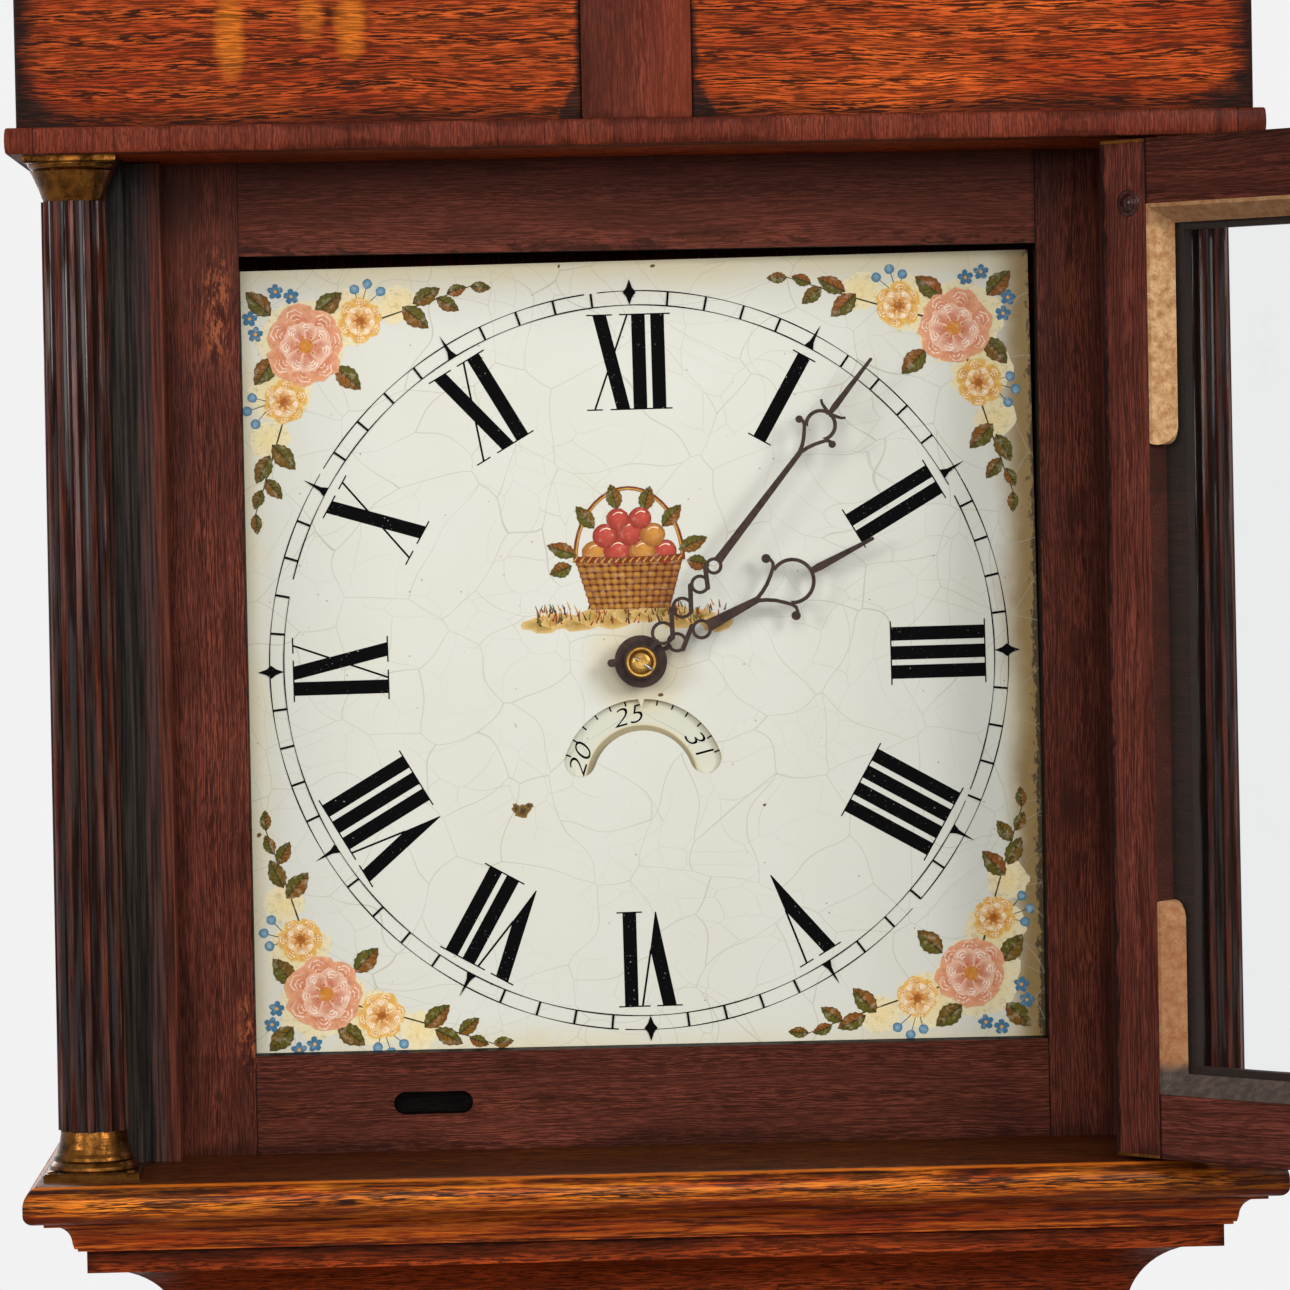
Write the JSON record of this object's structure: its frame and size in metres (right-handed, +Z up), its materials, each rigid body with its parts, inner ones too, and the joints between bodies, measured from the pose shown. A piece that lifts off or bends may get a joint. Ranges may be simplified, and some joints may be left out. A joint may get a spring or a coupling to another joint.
{
  "type": "longcase clock",
  "caption": "Tall floor-standing pendulum clock: sliding hood with columns and open glazed door, painted square dial, trunk with door, weight-driven train and pendulum.",
  "frame": {"origin": "on the floor under the case, on the centre line, below the line of the train arbors", "axes": "+X to the right as seen from the front, +Y towards the wall behind, +Z up"},
  "size_m": [0.7108, 0.5023, 1.9447],
  "materials": {
    "oak": "waxed oak, orange-brown, darker along the grain",
    "mahogany": "red-brown polished mahogany with worn patches",
    "dark_column": "near-black stained and varnished wood",
    "brass": "aged brass, dull in the hollows",
    "steel": "dark oxidised steel",
    "cast_iron": "rough cast iron",
    "dial_paint": "cream painted iron with fine cracks",
    "glass": "clear window glass",
    "putty": "dried tan glazing putty, granular"
  },
  "bodies": {
    "case": {"backboard": "oak", "trunk_side_left": "oak", "trunk_side_right": "oak", "trunk_front_frame": "oak", "throat_moulding": "oak", "base_moulding": "oak", "base_box": "oak", "base_floor": "oak", "plinth_skirting": "oak", "seatboard": "oak", "trunk_hinge_frame_lower": "brass", "trunk_hinge_frame_upper": "brass", "front_plate": "brass", "back_plate": "brass", "back_cock": "brass", "dial_plate": "dial_paint", "driving_weight": "cast_iron"},
    "hood": {"hood_base": "oak", "hood_side_left": "oak", "hood_side_right": "oak", "hood_mask": "mahogany", "hood_soffit": "oak", "hood_band": "mahogany", "hood_frieze": "oak", "hood_frieze_block": "mahogany", "hood_cornice": "oak", "column_shaft_left": "dark_column", "column_shaft_right": "dark_column", "column_base_left": "brass", "column_base_right": "brass", "column_capital_left": "brass", "column_capital_right": "brass"},
    "hood_door": {"hood_door_stile_hinge": "mahogany", "hood_door_stile_free": "mahogany", "hood_door_rail_top": "mahogany", "hood_door_rail_bottom": "mahogany", "hood_door_glass": "glass", "hood_door_putty": "putty", "hood_door_strap_lower": "brass", "hood_door_strap_upper": "brass"},
    "trunk_door": {"trunk_door": "oak", "trunk_escutcheon": "brass", "trunk_hinge_door_lower": "brass", "trunk_hinge_door_upper": "brass"},
    "great": {"great_wheel": "brass", "motion_drive_wheel": "brass"},
    "second": {"second_wheel": "brass"},
    "escape": {"escape_wheel": "brass"},
    "minute": {"cannon_wheel": "brass", "minute_hand": "steel", "hand_collet": "brass"},
    "hour": {"hour_wheel": "brass", "hour_hand": "steel"},
    "date": {"date_disc": "dial_paint"},
    "anchor": {"anchor": "steel"},
    "pendulum": {"pendulum_rod": "steel", "pendulum_bob": "cast_iron", "rating_nut": "brass"},
    "weight_pulley": {"weight_pulley": "brass"}
  },
  "joints": [
    {"name": "hood_slide", "type": "slide", "parent": "case", "child": "hood", "axis": [0, -1, 0], "range_m": [0, 0.3]},
    {"name": "hood_door_swing", "type": "hinge", "parent": "hood", "child": "hood_door", "pos_m": [0.1874, -0.1105, 1.64], "axis": [0, 0, 1], "range_deg": [-136, 0]},
    {"name": "trunk_door_swing", "type": "hinge", "parent": "case", "child": "trunk_door", "pos_m": [0.1235, -0.0895, 0.94], "axis": [0, 0, 1], "range_deg": [0, 115]},
    {"name": "great_turn", "type": "hinge", "parent": "case", "child": "great", "pos_m": [0, 0, 1.5896], "axis": [0, 1, 0], "continuous": true},
    {"name": "second_turn", "type": "hinge", "parent": "case", "child": "second", "pos_m": [0.012, 0, 1.63483], "axis": [0, 1, 0], "continuous": true},
    {"name": "escape_turn", "type": "hinge", "parent": "case", "child": "escape", "pos_m": [0, 0, 1.662], "axis": [0, 1, 0], "continuous": true},
    {"name": "minute_turn", "type": "hinge", "parent": "case", "child": "minute", "pos_m": [0, 0, 1.64], "axis": [0, 1, 0], "continuous": true},
    {"name": "hour_turn", "type": "hinge", "parent": "case", "child": "hour", "pos_m": [0, 0, 1.64], "axis": [0, 1, 0], "continuous": true},
    {"name": "pendulum_swing", "type": "hinge", "parent": "case", "child": "pendulum", "pos_m": [0, 0.0715, 1.69028], "axis": [0, 1, 0], "range_deg": [-3, 3]},
    {"name": "anchor_swing", "type": "hinge", "parent": "case", "child": "anchor", "pos_m": [0, 0.0715, 1.69028], "axis": [0, 1, 0], "range_deg": [-3, 3]},
    {"name": "date_turn", "type": "hinge", "parent": "case", "child": "date", "pos_m": [0.00048, -0.0476, 1.594], "axis": [0, 1, 0], "continuous": true},
    {"name": "weight_pulley_spin", "type": "hinge", "parent": "case", "child": "weight_pulley", "pos_m": [0, -0.012, 0.194], "axis": [0, 1, 0], "continuous": true}
  ],
  "couplings": [
    {"joint": "second_turn", "follows": "great_turn", "ratio": -12},
    {"joint": "escape_turn", "follows": "great_turn", "ratio": 120},
    {"joint": "minute_turn", "follows": "great_turn", "ratio": -2},
    {"joint": "hour_turn", "follows": "great_turn", "ratio": -0.16667},
    {"joint": "anchor_swing", "follows": "pendulum_swing", "ratio": 1}
  ]
}
